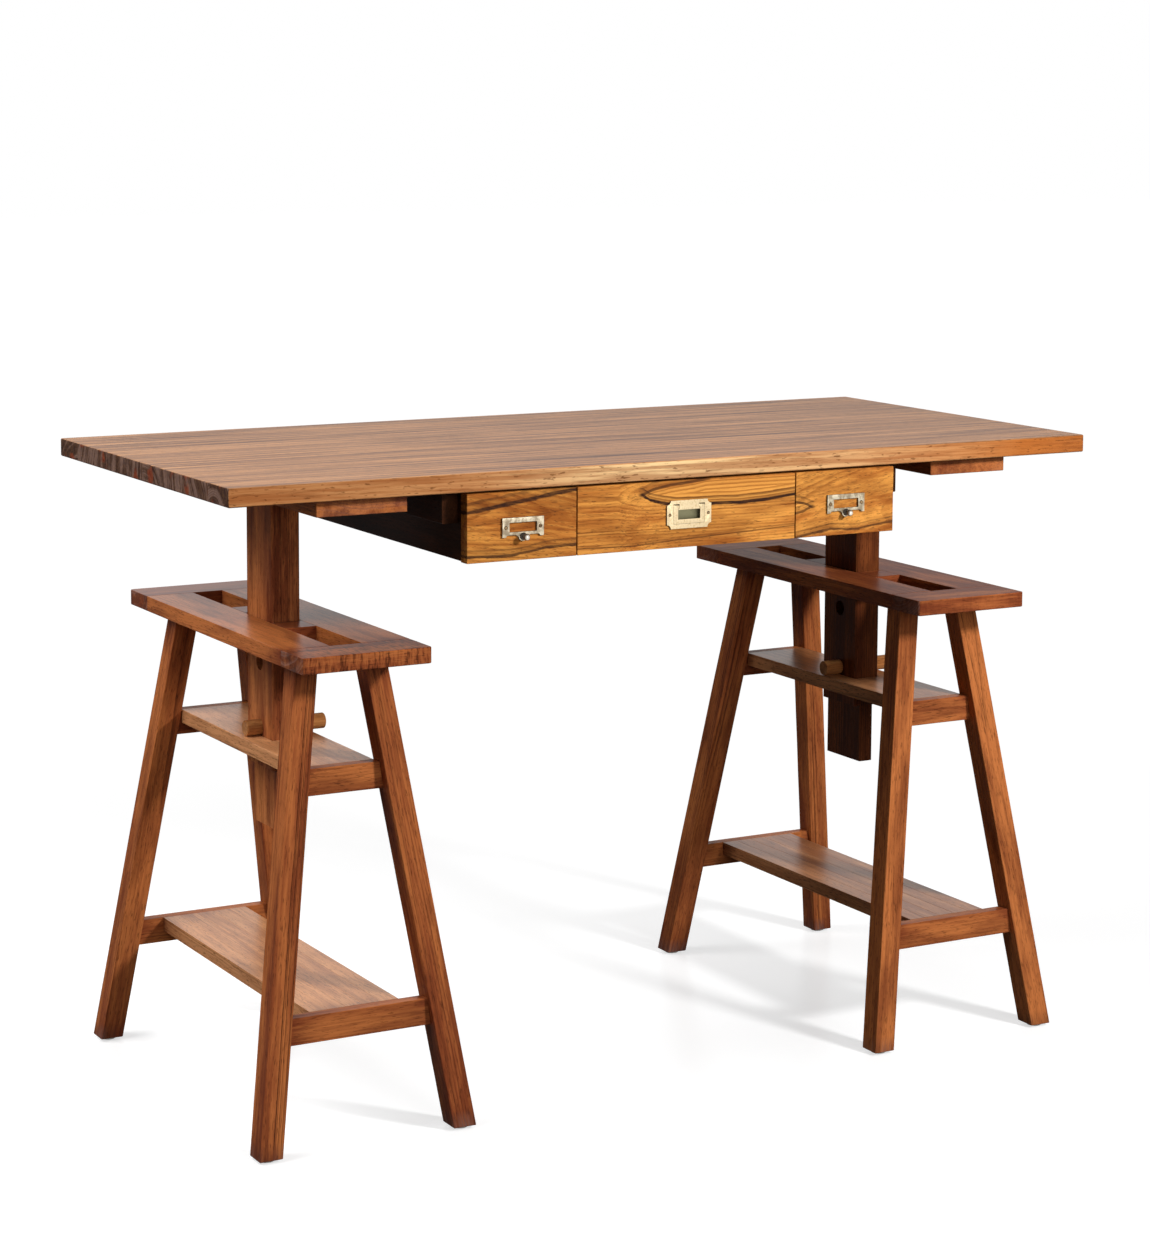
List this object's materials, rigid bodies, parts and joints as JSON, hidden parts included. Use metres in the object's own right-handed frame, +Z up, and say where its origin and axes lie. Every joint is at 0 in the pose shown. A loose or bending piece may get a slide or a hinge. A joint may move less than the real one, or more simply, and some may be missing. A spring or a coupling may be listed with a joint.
{
  "type": "height-adjustable desk",
  "caption": "Wooden desk with a drawer unit under its top, carried by posts that slide in splayed trestles and rest on pegs to set the working height.",
  "frame": {"origin": "on the floor, under the middle of the desktop, midway between the two trestles", "axes": "+X along the desktop to the right as the sitter faces it, +Y from the drawer fronts to the back, +Z up"},
  "size_m": [1.48, 0.7015, 0.972],
  "materials": {
    "top_wood": "waxed, greyed brown",
    "front_wood": "oiled golden brown",
    "trestle_wood": "waxed reddish brown",
    "shelf_wood": "worn dull brown",
    "case_wood": "dark brown",
    "box_wood": "plain, unfinished",
    "peg_wood": "oiled",
    "holder_metal": "worn nickel over brass",
    "knob_metal": "dark antique",
    "pull_metal": "pale satin brass",
    "cup_metal": "tarnished",
    "screw_brass": "dark antique",
    "screw_steel": "zinc plated",
    "glide_plastic": "light grey"
  },
  "bodies": {
    "left_trestle": {"left_top_rails": "trestle_wood", "left_top_crosspieces": "trestle_wood", "left_front_outer_leg": "trestle_wood", "left_front_inner_leg": "trestle_wood", "left_back_outer_leg": "trestle_wood", "left_back_inner_leg": "trestle_wood", "left_mid_stretchers": "trestle_wood", "left_low_stretchers": "trestle_wood", "left_mid_shelf": "shelf_wood", "left_low_shelf": "shelf_wood", "left_glides": "glide_plastic"},
    "desk": {"desktop": "top_wood", "left_bearer": "trestle_wood", "right_bearer": "trestle_wood", "left_post": "trestle_wood", "right_post": "trestle_wood", "underside_screws": "screw_steel", "unit_left_side": "case_wood", "unit_right_side": "case_wood", "unit_dividers": "case_wood", "unit_back": "case_wood", "unit_bottom": "case_wood", "unit_cleats": "case_wood"},
    "right_trestle": {"right_top_rails": "trestle_wood", "right_top_crosspieces": "trestle_wood", "right_front_outer_leg": "trestle_wood", "right_front_inner_leg": "trestle_wood", "right_back_outer_leg": "trestle_wood", "right_back_inner_leg": "trestle_wood", "right_mid_stretchers": "trestle_wood", "right_low_stretchers": "trestle_wood", "right_mid_shelf": "shelf_wood", "right_low_shelf": "shelf_wood", "right_glides": "glide_plastic"},
    "left_peg": {"left_peg": "peg_wood"},
    "right_peg": {"right_peg": "peg_wood"},
    "left_drawer": {"left_drawer_front": "front_wood", "left_drawer_box": "box_wood", "left_drawer_bottom": "box_wood", "left_card_holder": "holder_metal", "left_holder_screws": "screw_brass", "left_knob": "knob_metal"},
    "middle_drawer": {"middle_drawer_front": "front_wood", "middle_drawer_box": "box_wood", "middle_drawer_bottom": "box_wood", "pull_plate": "pull_metal", "pull_cup": "cup_metal", "pull_pins": "screw_brass", "pull_screws": "screw_brass"},
    "right_drawer": {"right_drawer_front": "front_wood", "right_drawer_box": "box_wood", "right_drawer_bottom": "box_wood", "right_card_holder": "holder_metal", "right_holder_screws": "screw_brass", "right_knob": "knob_metal"},
    "bail": {"pull_bail": "pull_metal"}
  },
  "joints": [
    {"name": "desktop_lift", "type": "slide", "parent": "left_trestle", "child": "desk", "axis": [0, 0, 1], "range_m": [0, 0.125]},
    {"name": "right_trestle_slide", "type": "slide", "parent": "desk", "child": "right_trestle", "axis": [0, 0, 1], "range_m": [-0.125, 0]},
    {"name": "left_peg_slide", "type": "slide", "parent": "desk", "child": "left_peg", "axis": [-1, 0, 0], "range_m": [0, 0.11]},
    {"name": "right_peg_slide", "type": "slide", "parent": "desk", "child": "right_peg", "axis": [1, 0, 0], "range_m": [0, 0.11]},
    {"name": "left_drawer_slide", "type": "slide", "parent": "desk", "child": "left_drawer", "axis": [0, -1, 0], "range_m": [0, 0.38]},
    {"name": "middle_drawer_slide", "type": "slide", "parent": "desk", "child": "middle_drawer", "axis": [0, -1, 0], "range_m": [0, 0.38]},
    {"name": "right_drawer_slide", "type": "slide", "parent": "desk", "child": "right_drawer", "axis": [0, -1, 0], "range_m": [0, 0.38]},
    {"name": "bail_hinge", "type": "hinge", "parent": "middle_drawer", "child": "bail", "pos_m": [0, -0.3393, 0.9018], "axis": [-1, 0, 0], "range_deg": [0, 90]}
  ],
  "couplings": [
    {"joint": "right_trestle_slide", "follows": "desktop_lift", "ratio": -1}
  ]
}
